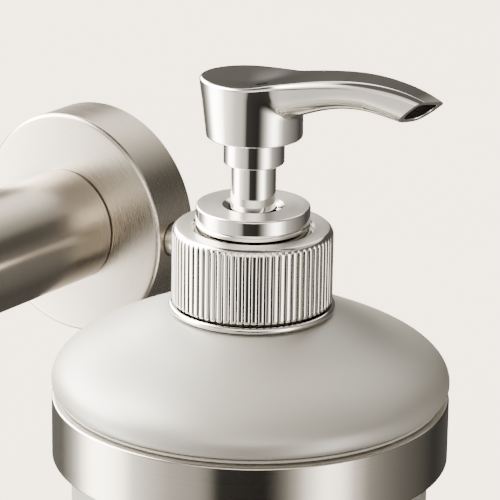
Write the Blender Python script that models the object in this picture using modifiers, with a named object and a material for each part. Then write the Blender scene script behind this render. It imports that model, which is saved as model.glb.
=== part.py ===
"""Wall mounted soap dispenser: rosette, post and ring on the wall, frosted bottle and lotion pump.

Frame: the origin is the centre of the wall bracket's back face, the wall is the plane y = 0,
the dispenser stands out towards -Y, and +Z is up. Lengths below are in millimetres.
"""
import math

import bmesh
import bpy
from mathutils import Matrix, Vector

# ---------------------------------------------------------------- driving dimensions (mm, degrees)
MM = 0.001
GAP = 0.3                    # clearance kept between pieces that touch

BOTTLE_X = 112.9             # bottle axis, to the right of the post's axis
BOTTLE_Y = -92.8             # bottle axis, in front of the wall

ROSETTE_R = 27.85
ROSETTE_DEPTH = 15.1
ROSETTE_WALL = 1.6
POST_R = 14.15
POST_LENGTH = 58.0
END_CAP_THICKNESS = 3.0
BRACKET_THICKNESS = 4.0
STUD_R = 5.0
STUD_LENGTH = 40.0
WALL_SCREW_HOLE_R = 2.3
WALL_SCREW_SPACING = 32.0

ARM_R = 4.0
ARM_Y = -8.0                 # arm's axis where it leaves the rosette
ARM_BEND_R = 20.0
ARM_ANGLE = -54.1            # heading of the arm's second leg, which points at the bottle's axis

RING_R = 41.1
RING_BORE_R = 38.4
RING_HEIGHT = 13.2
LINER_BORE_R = 37.55
LINER_R = 38.1
LIP_R = 39.7
LIP_THICKNESS = 0.6

GLASS_R = 41.1               # widest part of the shoulder
GLASS_BODY_R = 37.08         # below the ring
GLASS_WALL = 3.0
GLASS_WIDEST_Z = 10.0
GLASS_BOTTOM_Z = -79.4
NECK_ROOT_Z = 24.9
NECK_TOP_Z = 37.2
NECK_R = 13.4
NECK_BORE_R = 11.2

COLLAR_R = 17.1              # thin polished flange on the neck
CAP_R = 16.5
CAP_BOTTOM_Z = 26.9
CAP_TOP_Z = 42.7
CAP_HOLE_R = 12.7
CAP_RIBS = 72
CAP_RIB_DEPTH = 0.35

DISC_R = 11.7
DISC_TOP_Z = 47.27
HOUSING_FLANGE_Z = 38.6      # underside of the pump's flange
SLEEVE_R = 4.59              # polished sleeve on the stem
SLEEVE_BORE_R = 3.75
SLEEVE_HOLE_R = 4.87
STEM_R = 3.45
STEM_TOP_Z = 64.4
HEAD_COLLAR_R = 6.24
HEAD_COLLAR_Z = 56.25        # lower end, 9 mm above the disc at rest
HEAD_SPIGOT_R = 5.4          # plug of the collar in the head
SLEEVE_SOCKET = 2.05         # depth of the collar's socket for the stem's sleeve
CHAMBER_R = 4.9
HOUSING_R = 6.1
PISTON_TOP_Z = 36.4
PISTON_HEIGHT = 6.0
CAGE_Z = 2.6
SPRING_R = 3.9               # mean radius
SPRING_WIRE_R = 0.45
SPRING_COILS = 5
BALL_R = 2.2
BALL_Z = -2.46
OUTLET_BALL_R = 1.8
OUTLET_BALL_Z = 65.2
DIP_TUBE_R = 2.4
DIP_TUBE_BOTTOM_Z = -73.0

HEAD_BOTTOM_Z = 61.92
HEAD_TOP_Z = 73.8
HEAD_BOTTOM_R = 9.85
HEAD_TOP_BACK_R = 11.6       # the head flares towards its back
HEAD_TOP_HALF = 9.7
SPOUT_YAW = 8.0              # the spout points just off +X
# spout stations: reach from the axis, rise of the top, half width, depth, tilt of the section
SPOUT = [
    (-4.0, -1.4, 7.4, 7.0, 0.0),
    (1.0, 0.1, 8.7, 9.0, 4.0),
    (8.0, 1.05, 7.8, 7.9, 8.0),
    (16.0, 2.5, 6.0, 6.5, 8.0),
    (24.0, 3.42, 4.9, 6.2, 0.0),
    (32.0, 2.85, 4.1, 6.5, -14.0),
    (42.0, -0.6, 2.9, 6.3, -41.0),
]
MOUTH_REACH = 39.6           # upper lip of the mouth
MOUTH_TILT = 45.0            # how far the mouth faces down
MOUTH_YAW = -30.0            # and to the user's side
CHANNEL_R = 1.7

# colour, roughness, metallic
FINISHES = {
    "polished_nickel": ((0.78, 0.76, 0.73), 0.10, 1.0),
    "brushed_nickel": ((0.62, 0.59, 0.55), 0.32, 1.0),
    "steel": ((0.55, 0.55, 0.56), 0.30, 1.0),
    "frosted_glass": ((0.90, 0.89, 0.87), 0.45, 0.0),
    "white_plastic": ((0.85, 0.85, 0.84), 0.40, 0.0),
    "clear_plastic": ((0.80, 0.82, 0.83), 0.25, 0.0),
    "grey_rubber": ((0.20, 0.20, 0.20), 0.70, 0.0),
    "liner_plastic": ((0.30, 0.29, 0.28), 0.55, 0.0),
}


# ---------------------------------------------------------------- scene and helpers
def clear_scene():
    for obj in list(bpy.data.objects):
        bpy.data.objects.remove(obj, do_unlink=True)


def new_collection(name):
    collection = bpy.data.collections.new(name)
    bpy.context.scene.collection.children.link(collection)
    return collection


clear_scene()
PARTS = new_collection("wall_mounted_soap_dispenser")
CUTTERS = new_collection("cutters")


def give_finish(obj, finish):
    colour, roughness, metallic = FINISHES[finish]
    material = bpy.data.materials.new(obj.name + "_" + finish)
    material.use_nodes = True
    shader = material.node_tree.nodes["Principled BSDF"]
    shader.inputs["Base Color"].default_value = (*colour, 1.0)
    shader.inputs["Roughness"].default_value = roughness
    shader.inputs["Metallic"].default_value = metallic
    obj.data.materials.append(material)


def smooth(obj):
    obj.data.shade_smooth()
    obj.data.set_sharp_from_angle(angle=math.radians(35))


def place(obj, at=(0.0, 0.0, 0.0), turn=(0.0, 0.0, 0.0)):
    """Location in millimetres and rotation in degrees."""
    obj.location = Vector(at) * MM
    obj.rotation_euler = [math.radians(angle) for angle in turn]
    return obj


def add_object(name, data, finish=None):
    """A part with its finish, or a hidden cutter when no finish is named."""
    obj = bpy.data.objects.new(name, data)
    if finish:
        PARTS.objects.link(obj)
        give_finish(obj, finish)
    else:
        CUTTERS.objects.link(obj)
        obj.hide_render = True
        obj.display_type = "WIRE"
    return obj


def turned(name, outline, finish=None, steps=32, closed=True):
    """Turn an outline of (radius, height) points, outer side downwards, about local Z."""
    mesh = bpy.data.meshes.new(name)
    count = len(outline)
    edges = [(i, i + 1) for i in range(count - 1)]
    if closed:
        edges.append((count - 1, 0))
    mesh.from_pydata([(r * MM, 0.0, z * MM) for r, z in outline], edges, [])
    obj = add_object(name, mesh, finish)
    screw = obj.modifiers.new("Turn", "SCREW")
    screw.axis = "Z"
    screw.steps = steps
    screw.render_steps = steps
    screw.use_merge_vertices = True
    screw.merge_threshold = 0.000001
    screw.use_smooth_shade = True
    return obj


def tube_outline(outer, inner, low, high, chamfer=0.0):
    """Closed outline of a plain tube with chamfered outer corners."""
    if not chamfer:
        return [(outer, high), (outer, low), (inner, low), (inner, high)]
    return [(outer - chamfer, high), (outer, high - chamfer), (outer, low + chamfer),
            (outer - chamfer, low), (inner, low), (inner, high)]


def solid_outline(radius, low, high, chamfer=0.0):
    """Outline of a solid cylinder, open at the axis."""
    if not chamfer:
        return [(0.0, high), (radius, high), (radius, low), (0.0, low)]
    return [(0.0, high), (radius - chamfer, high), (radius, high - chamfer),
            (radius, low + chamfer), (radius - chamfer, low), (0.0, low)]


def solid(name, radius, low, high, finish=None, steps=24, chamfer=0.0):
    return turned(name, solid_outline(radius, low, high, chamfer), finish, steps, closed=False)


def cut(obj, *cutters):
    for cutter in cutters:
        boolean = obj.modifiers.new("Cut", "BOOLEAN")
        boolean.operation = "DIFFERENCE"
        boolean.solver = "EXACT"
        boolean.object = cutter
    return obj


def join(obj, other):
    boolean = obj.modifiers.new("Join", "BOOLEAN")
    boolean.operation = "UNION"
    boolean.solver = "EXACT"
    boolean.object = other
    return obj


def arc(centre, radius, start, end, count):
    """Points on an arc in the outline's plane, angles in degrees from +radius towards +height."""
    points = []
    for i in range(count + 1):
        angle = math.radians(start + (end - start) * i / count)
        points.append((centre[0] + radius * math.cos(angle), centre[1] + radius * math.sin(angle)))
    return points


def bezier(p0, p1, p2, p3, count):
    """Points of a cubic curve after its first point."""
    points = []
    for i in range(1, count + 1):
        t = i / count
        weights = ((1 - t) ** 3, 3 * t * (1 - t) ** 2, 3 * t * t * (1 - t), t ** 3)
        points.append(tuple(sum(w * p[k] for w, p in zip(weights, (p0, p1, p2, p3))) for k in (0, 1)))
    return points


def wire(name, points, radius, finish=None, resolution=2, caps=True):
    """A round wire or tube skin along a list of points in millimetres."""
    curve = bpy.data.curves.new(name, "CURVE")
    curve.dimensions = "3D"
    curve.bevel_depth = radius * MM
    curve.bevel_resolution = resolution
    curve.use_fill_caps = caps
    spline = curve.splines.new("POLY")
    spline.points.add(len(points) - 1)
    for point, position in zip(spline.points, points):
        point.co = (*(Vector(position) * MM), 1.0)
    return add_object(name, curve, finish)


def curve_to_mesh(obj, finish=None):
    """Replace a curve object by a closed mesh object of the same name."""
    bpy.context.view_layer.update()
    evaluated = obj.evaluated_get(bpy.context.evaluated_depsgraph_get())
    mesh = bpy.data.meshes.new_from_object(evaluated)
    work = bmesh.new()
    work.from_mesh(mesh)
    bmesh.ops.remove_doubles(work, verts=work.verts, dist=0.000001)
    work.to_mesh(mesh)
    work.free()
    mesh.materials.clear()
    name, matrix = obj.name, obj.matrix_world.copy()
    bpy.data.objects.remove(obj, do_unlink=True)
    result = add_object(name, mesh, finish)
    result.matrix_world = matrix
    return result


def loft(name, rings, finish=None, endless=False):
    """Skin between closed rings of equal point counts, with filled ends or running back to the start."""
    work = bmesh.new()
    rows = [[work.verts.new(Vector(point) * MM) for point in ring] for ring in rings]
    count = len(rows[0])
    following_rows = rows[1:] + rows[:1] if endless else rows[1:]
    for row, following in zip(rows, following_rows):
        for i in range(count):
            j = (i + 1) % count
            work.faces.new((row[i], row[j], following[j], following[i]))
    if not endless:
        work.faces.new(list(reversed(rows[0])))
        work.faces.new(rows[-1])
    bmesh.ops.recalc_face_normals(work, faces=work.faces)
    mesh = bpy.data.meshes.new(name)
    work.to_mesh(mesh)
    work.free()
    obj = add_object(name, mesh, finish)
    smooth(obj)
    return obj


def box(name, size, at, finish=None):
    mesh = bpy.data.meshes.new(name)
    work = bmesh.new()
    bmesh.ops.create_cube(work, size=1.0)
    bmesh.ops.scale(work, vec=Vector(size) * MM, verts=work.verts)
    work.to_mesh(mesh)
    work.free()
    return place(add_object(name, mesh, finish), at)


# ---------------------------------------------------------------- wall fixing
OUT = (90.0, 0.0, 0.0)          # turns local +Z to -Y, out of the wall
ALONG_WALL = (0.0, 90.0, 0.0)   # turns local +Z to +X
ON_BOTTLE = (BOTTLE_X, BOTTLE_Y, 0.0)
ARM_TOWARD = (0.0, 90.0, ARM_ANGLE)   # turns local +Z to the arm's second heading
PLATE_R = ROSETTE_R - ROSETTE_WALL - 2 * GAP
LUG_X = 13.5                    # middle of the lug that clamps the arm
SPIGOT_R = 2.8
GRUB_R = 1.25


def wall_bracket():
    """Plate with a stud for the post, two screw holes and a lug that clamps the ring's arm."""
    outline = [(0.0, STUD_LENGTH), (STUD_R - 0.6, STUD_LENGTH), (STUD_R, STUD_LENGTH - 0.6),
               (STUD_R, BRACKET_THICKNESS), (PLATE_R - 0.4, BRACKET_THICKNESS),
               (PLATE_R, BRACKET_THICKNESS - 0.4), (PLATE_R, 0.0), (0.0, 0.0)]
    bracket = place(turned("wall_bracket", outline, "steel", 32, closed=False), turn=OUT)
    lug_depth = 9.4
    lug_y = -BRACKET_THICKNESS + 0.6 - lug_depth / 2
    join(bracket, box("lug_block", (9.0, lug_depth, 10.0), (LUG_X, lug_y, 0.0)))
    for side in (-1, 1):
        outline = [(0.0, BRACKET_THICKNESS + 1.0), (WALL_SCREW_HOLE_R + 3.2, BRACKET_THICKNESS + 1.0),
                   (WALL_SCREW_HOLE_R, BRACKET_THICKNESS - 2.2), (WALL_SCREW_HOLE_R, -1.0), (0.0, -1.0)]
        hole = turned("screw_hole_%+d" % side, outline, steps=18, closed=False)
        cut(bracket, place(hole, (0.0, 0.0, side * WALL_SCREW_SPACING / 2), OUT))
    spigot_bore = solid("spigot_bore", SPIGOT_R + GAP, LUG_X - 3.2, LUG_X + 8.0)
    clamp_hole = solid("clamp_hole", GRUB_R + GAP, SPIGOT_R - 0.5, 8.0, steps=16)
    grub_hole = solid("grub_hole", GRUB_R + GAP, -PLATE_R - 1.0, -PLATE_R + 3.6, steps=16)
    cut(bracket, place(spigot_bore, (0.0, ARM_Y, 0.0), ALONG_WALL))
    cut(bracket, place(clamp_hole, (LUG_X, ARM_Y, 0.0)))
    cut(bracket, place(grub_hole, (0.0, -BRACKET_THICKNESS / 2, 0.0)))


def wall_rosette():
    """Round cover cup, held by the post in front and by a grub screw below."""
    inner = ROSETTE_R - ROSETTE_WALL
    floor = ROSETTE_DEPTH - ROSETTE_WALL
    outline = [(ROSETTE_R - 1.0, ROSETTE_DEPTH), (ROSETTE_R - 0.3, ROSETTE_DEPTH - 0.3),
               (ROSETTE_R, ROSETTE_DEPTH - 1.0), (ROSETTE_R, GAP), (inner, GAP), (inner, floor),
               (STUD_R + GAP, floor), (STUD_R + GAP, ROSETTE_DEPTH)]
    rosette = place(turned("wall_rosette", outline, "brushed_nickel", 40), turn=OUT)
    arm_hole = solid("arm_hole", ARM_R + GAP, ROSETTE_R - 5.0, ROSETTE_R + 5.0)
    grub_hole = solid("rim_grub_hole", GRUB_R + GAP, -ROSETTE_R - 1.0, -inner + 1.0, steps=16)
    cut(rosette, place(arm_hole, (0.0, ARM_Y, 0.0), ALONG_WALL))
    cut(rosette, place(grub_hole, (0.0, -BRACKET_THICKNESS / 2, 0.0)))
    grub = solid("rosette_grub_screw", GRUB_R, -ROSETTE_R + 0.4, -PLATE_R + 3.3, "steel", 12, 0.2)
    place(grub, (0.0, -BRACKET_THICKNESS / 2, 0.0))


def support_post():
    """Thick round post, screwed on the stud, with a plug in its front end."""
    back = ROSETTE_DEPTH + GAP
    front = back + POST_LENGTH
    socket = 9.0
    floor = front - 12.0
    outline = [(0.0, floor), (socket, floor), (socket, front), (POST_R - 0.3, front), (POST_R, front - 0.3),
               (POST_R, back + 0.3), (POST_R - 0.3, back), (STUD_R + GAP, back),
               (STUD_R + GAP, STUD_LENGTH + 1.0), (0.0, STUD_LENGTH + 1.0)]
    place(turned("support_post", outline, "brushed_nickel", 32, closed=False), turn=OUT)
    face = front + GAP + END_CAP_THICKNESS
    plug = socket - GAP
    outline = [(0.0, face), (POST_R - 1.0, face), (POST_R - 0.3, face - 0.3), (POST_R, face - 1.0),
               (POST_R, front + GAP), (plug, front + GAP), (plug, floor + 2.0), (0.0, floor + 2.0)]
    place(turned("post_end_cap", outline, "brushed_nickel", 32, closed=False), turn=OUT)


# ---------------------------------------------------------------- ring and its arm
def arm_path():
    """From the lug along the wall, round one bend, then straight at the bottle's axis."""
    heading = Vector((math.cos(math.radians(ARM_ANGLE)), math.sin(math.radians(ARM_ANGLE)), 0.0))
    axis = Vector(ON_BOTTLE)
    corner = axis + heading * ((ARM_Y - BOTTLE_Y) / heading.y)
    tangent = ARM_BEND_R * math.tan(math.radians(-ARM_ANGLE) / 2)
    centre = corner + Vector((-tangent, -ARM_BEND_R, 0.0))
    points = [Vector((LUG_X + 5.0, ARM_Y, 0.0))]
    for x, y in arc((centre.x, centre.y), ARM_BEND_R, 90.0, 90.0 + ARM_ANGLE, 8):
        points.append(Vector((x, y, 0.0)))
    points.append(axis - heading * (RING_R + GAP))
    return points


def ring_arm():
    """Bent rod: a spigot in the bracket's lug at one end, a screw hole for the ring at the other."""
    arm = curve_to_mesh(wire("ring_arm", arm_path(), ARM_R, resolution=4), "brushed_nickel")
    smooth(arm)
    spigot = solid("arm_spigot", SPIGOT_R, LUG_X - 2.9, LUG_X + 5.5)
    join(arm, place(spigot, (0.0, ARM_Y, 0.0), ALONG_WALL))
    cut(arm, place(solid("arm_thread", 2.0, -RING_R - 12.0, -RING_R + 1.0, steps=20), ON_BOTTLE, ARM_TOWARD))
    clamp = solid("arm_clamp_screw", GRUB_R, SPIGOT_R + GAP, SPIGOT_R + 2.0, "steel", 12, 0.2)
    place(clamp, (LUG_X, ARM_Y, 0.0))


def holder_ring():
    """Flat band round the bottle, with the countersunk screw that holds it to the arm, and its liner."""
    half = RING_HEIGHT / 2
    outline = tube_outline(RING_R, RING_BORE_R, -half, half, 0.4)
    ring = place(turned("holder_ring", outline, "brushed_nickel", 48), ON_BOTTLE)
    shank, head, slope = 1.7, 3.3, 1.6
    seat = -RING_BORE_R - 0.4
    hole = [(0.0, -RING_BORE_R + 1.0), (head + GAP, -RING_BORE_R + 1.0), (head + GAP, seat),
            (shank + GAP, seat - slope), (shank + GAP, -RING_R - 1.0), (0.0, -RING_R - 1.0)]
    cut(ring, place(turned("ring_screw_hole", hole, steps=20, closed=False), ON_BOTTLE, ARM_TOWARD))
    screw = [(0.0, seat), (head, seat), (shank, seat - slope), (shank, -RING_R - 10.0), (0.0, -RING_R - 10.0)]
    place(turned("ring_screw", screw, "steel", 20, closed=False), ON_BOTTLE, ARM_TOWARD)
    lip = half + GAP
    top = lip + LIP_THICKNESS
    liner = [(LIP_R, top), (LIP_R, lip), (LINER_R, lip), (LINER_R, -half + GAP), (LINER_BORE_R, -half + GAP),
             (LINER_BORE_R, top)]
    place(turned("ring_liner", liner, "liner_plastic", 48), ON_BOTTLE)


# ---------------------------------------------------------------- bottle
def glass_bottle():
    """Straight body below the ring, domed shoulder above it, short neck for the closure."""
    seat_z = RING_HEIGHT / 2 + 2 * GAP + LIP_THICKNESS
    inner_r = GLASS_BODY_R - GLASS_WALL
    floor = GLASS_BOTTOM_Z + 4.0
    crest = (28.4, 20.2)         # where the shoulder turns from hollow to domed
    under = (27.3, 17.4)         # the same point on the inside
    inside = [(0.0, floor)] + arc((inner_r - 4.0, floor + 4.0), 4.0, -90.0, 0.0, 2)
    inside += [(inner_r, 8.5), (36.6, 11.8)]
    inside += bezier((36.6, 11.8), (36.2, 13.8), (32.8, 15.2), under, 3)
    inside += bezier(under, (21.5, 19.8), (13.5, 21.0), (NECK_BORE_R, 24.0), 3)
    neck = [(NECK_BORE_R, NECK_TOP_Z), (NECK_R - 0.4, NECK_TOP_Z), (NECK_R, NECK_TOP_Z - 0.4),
            (NECK_R, NECK_ROOT_Z), (16.6, NECK_ROOT_Z)]
    shoulder = bezier((16.6, NECK_ROOT_Z), (20.4, 24.2), (25.0, 21.7), crest, 4)
    shoulder += bezier(crest, (35.0, 17.2), (GLASS_R, 14.4), (GLASS_R, GLASS_WIDEST_Z), 5)
    shoulder += bezier((GLASS_R, GLASS_WIDEST_Z), (GLASS_R, 8.4), (40.3, seat_z), (39.3, seat_z), 2)
    body = [(GLASS_BODY_R, seat_z)]
    body += arc((GLASS_BODY_R - 3.0, GLASS_BOTTOM_Z + 3.0), 3.0, 0.0, -90.0, 2) + [(0.0, GLASS_BOTTOM_Z)]
    outline = inside + neck + shoulder + body
    place(turned("glass_bottle", outline, "frosted_glass", 36, closed=False), ON_BOTTLE)


def neck_collar():
    low = NECK_ROOT_Z + GAP
    high = CAP_BOTTOM_Z - GAP
    outline = [(COLLAR_R - 0.35, high), (COLLAR_R, high - 0.35), (COLLAR_R, low + 0.35),
               (COLLAR_R - 0.35, low), (NECK_R + GAP, low), (NECK_R + GAP, high)]
    place(turned("neck_collar", outline, "polished_nickel", 36), ON_BOTTLE)


# ---------------------------------------------------------------- closure
def closure():
    """Ribbed metal shell over a plain plastic insert that carries the thread."""
    wall = 1.3
    shell_bore = CAP_R - wall
    roof = CAP_TOP_Z - 1.2
    groove = CAP_R - CAP_RIB_DEPTH
    rows = [(CAP_HOLE_R, CAP_HOLE_R, CAP_TOP_Z), (CAP_R - 0.8, CAP_R - 0.8, CAP_TOP_Z),
            (CAP_R, groove, CAP_TOP_Z - 0.9), (CAP_R, groove, CAP_BOTTOM_Z),
            (shell_bore, shell_bore, CAP_BOTTOM_Z),
            (shell_bore, shell_bore, roof), (CAP_HOLE_R, CAP_HOLE_R, roof)]
    rings = []
    for ridge, valley, height in rows:
        ring = []
        for i in range(2 * CAP_RIBS):
            angle = math.pi * i / CAP_RIBS
            radius = valley if i % 2 else ridge
            ring.append((radius * math.cos(angle), radius * math.sin(angle), height))
        rings.append(ring)
    place(loft("closure_shell", rings, "polished_nickel", endless=True), ON_BOTTLE)
    top = roof - GAP
    outline = [(shell_bore - GAP, top), (shell_bore - GAP, CAP_BOTTOM_Z + GAP), (NECK_R + GAP, CAP_BOTTOM_Z + GAP),
               (NECK_R + GAP, top - 1.3), (DISC_R + 0.5, top - 1.3), (DISC_R + 0.5, top)]
    place(turned("closure_insert", outline, "white_plastic", 30), ON_BOTTLE)


# ---------------------------------------------------------------- pump
FLANGE_LOW = NECK_TOP_Z + 1.4
FLANGE_HIGH = FLANGE_LOW + 1.0
COLLAR_FLOOR = FLANGE_HIGH + GAP
GUIDE_LOW = PISTON_TOP_Z + 0.5
GUIDE_HIGH = COLLAR_FLOOR + 4.4
GUIDE_R = 5.6
FLANGE_R = NECK_R - 0.2
HOUSING_NECK_R = 7.6
NOZZLE_END_Z = -14.0
SOCKET_TOP_Z = -6.0


def pump_collar():
    """Round polished disc on the pump, with a fine groove and a countersunk hole for the stem."""
    groove = CAP_TOP_Z + 1.2
    countersink_r, cavity_r, roof = 6.2, HOUSING_NECK_R + 0.4, GUIDE_HIGH + 0.7
    outline = [(countersink_r, DISC_TOP_Z), (DISC_R - 0.35, DISC_TOP_Z), (DISC_R, DISC_TOP_Z - 0.35),
               (DISC_R, groove + 0.3), (DISC_R - 0.3, groove + 0.15), (DISC_R - 0.3, groove - 0.15),
               (DISC_R, groove - 0.3), (DISC_R, COLLAR_FLOOR), (cavity_r, COLLAR_FLOOR), (cavity_r, roof),
               (SLEEVE_HOLE_R, roof), (SLEEVE_HOLE_R, DISC_TOP_Z - 0.7)]
    place(turned("pump_collar", outline, "polished_nickel", 32), ON_BOTTLE)


def pump_housing():
    """Flanged cylinder with the piston's chamber, the ball seat and the socket of the dip tube."""
    guide_r = GUIDE_R + GAP
    socket_r = DIP_TUBE_R + GAP
    inlet_r, seat_r, seat_low = 1.4, 3.0, CAGE_Z - 7.2
    nozzle_r = socket_r + 1.3
    top, floor = GUIDE_HIGH + GAP, CAGE_Z - GAP
    outline = [(guide_r, top), (HOUSING_NECK_R, top), (HOUSING_NECK_R, FLANGE_HIGH), (FLANGE_R, FLANGE_HIGH),
               (FLANGE_R, FLANGE_LOW), (HOUSING_R + 1.0, FLANGE_LOW), (HOUSING_R + 1.0, GUIDE_LOW - 2.0),
               (HOUSING_R, GUIDE_LOW - 3.0), (HOUSING_R, CAGE_Z - 2.0), (nozzle_r + 0.2, CAGE_Z - 4.5),
               (nozzle_r, NOZZLE_END_Z), (socket_r, NOZZLE_END_Z), (socket_r, SOCKET_TOP_Z), (inlet_r, SOCKET_TOP_Z),
               (inlet_r, seat_low), (seat_r, seat_low + 1.6), (seat_r, floor), (CHAMBER_R, floor),
               (CHAMBER_R, GUIDE_LOW - GAP), (guide_r, GUIDE_LOW - GAP)]
    place(turned("pump_housing", outline, "white_plastic", 22), ON_BOTTLE)
    outline = tube_outline(FLANGE_R, NECK_BORE_R + 0.1, NECK_TOP_Z + GAP, FLANGE_LOW - GAP)
    place(turned("neck_gasket", outline, "grey_rubber", 26), ON_BOTTLE)
    outline = [(GUIDE_R, GUIDE_HIGH), (GUIDE_R, GUIDE_LOW), (SLEEVE_BORE_R, GUIDE_LOW), (SLEEVE_BORE_R, GUIDE_LOW + 0.5),
               (SLEEVE_HOLE_R, GUIDE_LOW + 0.5), (SLEEVE_HOLE_R, GUIDE_HIGH)]
    place(turned("stem_guide", outline, "white_plastic", 22), ON_BOTTLE)


def inlet_valve():
    """Caged ball on the housing's seat, and the dip tube below it."""
    cage = tube_outline(CHAMBER_R - GAP, 1.6, CAGE_Z, CAGE_Z + 2.0)
    place(turned("valve_cage", cage, "white_plastic", 20), ON_BOTTLE)
    ball("inlet_ball", BALL_R, BALL_Z)
    tube = tube_outline(DIP_TUBE_R, DIP_TUBE_R - 0.8, DIP_TUBE_BOTTOM_Z, SOCKET_TOP_Z - GAP)
    place(turned("dip_tube", tube, "clear_plastic", 20), ON_BOTTLE)


def ball(name, radius, height):
    outline = arc((0.0, 0.0), radius, 90.0, -90.0, 6)
    outline[0] = (0.0, radius)
    outline[-1] = (0.0, -radius)
    place(turned(name, outline, "steel", 12, closed=False), (BOTTLE_X, BOTTLE_Y, height))


def return_spring():
    """Coil spring between the valve cage and the piston."""
    low = CAGE_Z + 2.0 + GAP + SPRING_WIRE_R
    high = PISTON_TOP_Z - PISTON_HEIGHT - GAP - SPRING_WIRE_R
    steps_per_coil = 10
    count = SPRING_COILS * steps_per_coil
    points = []
    for i in range(count + 1):
        angle = 2 * math.pi * i / steps_per_coil
        height = low + (high - low) * i / count
        points.append((SPRING_R * math.cos(angle), SPRING_R * math.sin(angle), height))
    place(wire("return_spring", points, SPRING_WIRE_R, "steel", resolution=1), ON_BOTTLE)


def plunger():
    """Piston, its hollow stem and the polished sleeve that shows above the disc."""
    low = PISTON_TOP_Z - PISTON_HEIGHT
    lip = CHAMBER_R - GAP
    bore = STEM_R + GAP
    outline = [(lip, PISTON_TOP_Z), (lip, PISTON_TOP_Z - 1.0), (lip - 0.45, PISTON_TOP_Z - 1.6),
               (lip - 0.45, low + 1.6), (lip, low + 1.0), (lip, low), (bore, low), (bore, PISTON_TOP_Z)]
    place(turned("piston", outline, "white_plastic", 20), ON_BOTTLE)
    outline = [(2.2, STEM_TOP_Z), (STEM_R, STEM_TOP_Z), (STEM_R, low + 0.4), (1.3, low + 0.4), (1.3, STEM_TOP_Z - 0.9)]
    place(turned("piston_stem", outline, "white_plastic", 20), ON_BOTTLE)
    outline = tube_outline(SLEEVE_R, SLEEVE_BORE_R, DISC_TOP_Z - 1.1, HEAD_COLLAR_Z + SLEEVE_SOCKET - GAP)
    place(turned("stem_sleeve", outline, "polished_nickel", 26), ON_BOTTLE)


# ---------------------------------------------------------------- head and spout
def smooth_station(reach):
    """Spout station at a reach, on a smooth curve through the listed stations."""
    last = len(SPOUT) - 2
    k = max(i for i in range(last + 1) if SPOUT[i][0] <= reach or i == 0)
    before, start, end, after = (SPOUT[max(0, min(j, last + 1))] for j in (k - 1, k, k + 1, k + 2))
    t = (reach - start[0]) / (end[0] - start[0])
    values = []
    for a, b, c, d in zip(before[1:], start[1:], end[1:], after[1:]):
        values.append(0.5 * (2 * b + (c - a) * t + (2 * a - 5 * b + 4 * c - d) * t ** 2
                             + (3 * b - a - 3 * c + d) * t ** 3))
    return values


def spout_section(reach):
    """D-shaped ring: flat top with bevelled edges, rounded sides and underside."""
    rise, half, depth, tilt = smooth_station(reach)
    lean = math.radians(tilt)
    bevel = 0.8
    squareness = 0.8             # 1 is an ellipse, less is boxier
    shape = [(half - bevel, 0.0), (half, -bevel)]
    for i in range(1, 8):
        angle = math.pi * i / 8
        across = math.copysign(abs(math.cos(angle)) ** squareness, math.cos(angle)) * half
        shape.append((across, -bevel - (depth - bevel) * math.sin(angle) ** squareness))
    shape += [(-half, -bevel), (bevel - half, 0.0)]
    top = HEAD_TOP_Z + rise
    return [(reach - drop * math.sin(lean), across, top + drop * math.cos(lean)) for across, drop in shape]


def head_section(height, back, front, half):
    """Egg-shaped ring round the axis, with different radii to the back, the front and the sides."""
    ring = []
    for i in range(28):
        angle = 2 * math.pi * i / 28
        along = math.cos(angle)
        ring.append((along * (front if along > 0 else back), math.sin(angle) * half, height))
    return ring


def mouth_cutter():
    """Block whose back face is the plane of the spout's mouth."""
    size = 20.0
    block = box("mouth_block", (size, size, size), (0.0, 0.0, 0.0))
    yaw = Matrix.Rotation(math.radians(SPOUT_YAW), 4, "Z")
    facing = Matrix.Rotation(math.radians(MOUTH_YAW), 4, "Z") @ Matrix.Rotation(math.radians(MOUTH_TILT), 4, "Y")
    lip = Vector((MOUTH_REACH, 0.0, HEAD_TOP_Z + smooth_station(MOUTH_REACH)[0]))
    block.matrix_world = (Matrix.Translation(Vector(ON_BOTTLE) * MM) @ yaw @ Matrix.Translation(lip * MM) @ facing
                          @ Matrix.Translation((size / 2 * MM, 0.0, 0.0)))
    return block


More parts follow.
